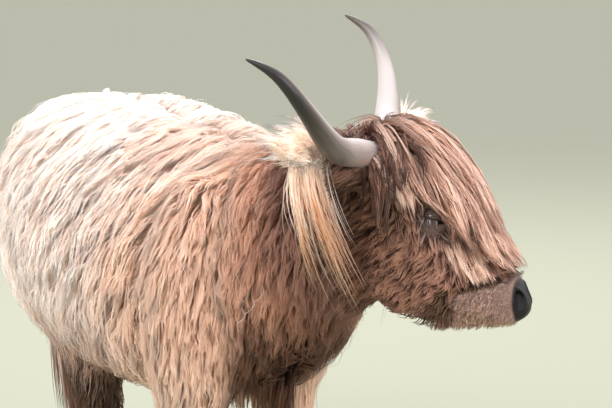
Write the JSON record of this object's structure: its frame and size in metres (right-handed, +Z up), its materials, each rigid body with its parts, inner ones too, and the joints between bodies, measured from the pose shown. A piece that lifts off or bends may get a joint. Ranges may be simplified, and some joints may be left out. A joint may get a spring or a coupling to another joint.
{
  "type": "highland cow model",
  "caption": "Still, life-size highland cow standing square on flat hooves, head low and turned to its left, with long shaggy coat, upswept horns and a forelock over the brow.",
  "frame": {"origin": "on the floor under the middle of the animal's bounding box", "axes": "+X towards the chest, +Y to the animal's left, +Z up"},
  "size_m": [1.9406, 0.6689, 1.3511],
  "materials": {
    "coat_pale": "long shaggy cream coat",
    "coat_tan": "shaggy tan-brown coat",
    "coat_brown": "brown coat of the face",
    "coat_dark": "dark brown hair of legs and tail switch",
    "nose_skin": "moist black muzzle skin",
    "udder_skin": "soft pink skin with short hair",
    "horn": "keratin, pale with dark tips, satin",
    "hoof": "dark keratin, satin",
    "eye": "wet dark brown"
  },
  "bodies": {
    "root": {"eye_right": "eye", "horn_right": "horn", "ear_right": "coat_brown", "ear_fringe_right": "coat_tan", "eye_left": "eye", "horn_left": "horn", "ear_left": "coat_brown", "ear_fringe_left": "coat_tan", "lower_jaw": "coat_brown", "muzzle": "nose_skin", "head": "coat_brown", "forelock": "coat_brown", "trunk": "coat_pale", "neck": "coat_tan", "foreleg_right_shoulder": "coat_tan", "foreleg_right_cannon": "coat_dark", "foreleg_right_claw_right": "hoof", "foreleg_right_dewclaw_right": "hoof", "foreleg_right_claw_left": "hoof", "foreleg_right_dewclaw_left": "hoof", "foreleg_left_shoulder": "coat_tan", "foreleg_left_cannon": "coat_dark", "foreleg_left_claw_right": "hoof", "foreleg_left_dewclaw_right": "hoof", "foreleg_left_claw_left": "hoof", "foreleg_left_dewclaw_left": "hoof", "hindleg_right_thigh": "coat_pale", "hindleg_right_cannon": "coat_dark", "hindleg_right_claw_right": "hoof", "hindleg_right_dewclaw_right": "hoof", "hindleg_right_claw_left": "hoof", "hindleg_right_dewclaw_left": "hoof", "hindleg_left_thigh": "coat_pale", "hindleg_left_cannon": "coat_dark", "hindleg_left_claw_right": "hoof", "hindleg_left_dewclaw_right": "hoof", "hindleg_left_claw_left": "hoof", "hindleg_left_dewclaw_left": "hoof", "udder": "udder_skin", "tail_dock": "coat_pale", "tail_switch": "coat_dark"}
  },
  "joints": []
}
